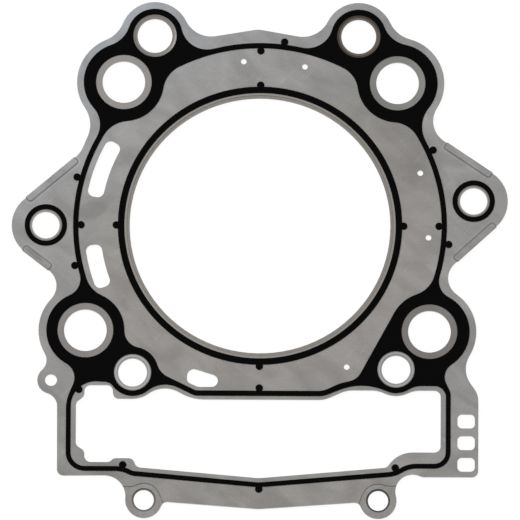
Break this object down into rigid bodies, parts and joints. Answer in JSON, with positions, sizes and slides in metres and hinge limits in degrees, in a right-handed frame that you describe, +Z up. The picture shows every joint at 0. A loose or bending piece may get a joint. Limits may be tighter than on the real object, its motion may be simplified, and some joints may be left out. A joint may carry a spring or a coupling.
{
  "type": "cylinder head gasket",
  "caption": "Flat layered steel gasket that seals a cylinder head to its cylinder, with rubber lines round the bore, bolt holes, coolant jacket and timing chain tunnel.",
  "frame": {"origin": "on the axis of the cylinder bore, at the underside of the lower rubber lines", "axes": "+Z is up through the gasket's thickness, towards the cylinder head; +Y points away from the timing chain tunnel; +X is right of that, seen from above"},
  "size_m": [0.1779, 0.1891, 0.0015],
  "materials": {
    "facing_steel": "satin, lightly mottled",
    "core_steel": "satin",
    "seal_rubber": "smooth black"
  },
  "bodies": {
    "root": {"core_sheet": "core_steel", "lower_sheet": "facing_steel", "upper_sheet": "facing_steel", "lower_main_seal": "seal_rubber", "lower_bore_seal": "seal_rubber", "lower_ear_seal_left": "seal_rubber", "lower_ear_seal_right": "seal_rubber", "upper_main_seal": "seal_rubber", "upper_bore_seal": "seal_rubber", "upper_ear_seal_left": "seal_rubber", "upper_ear_seal_right": "seal_rubber"}
  },
  "joints": []
}
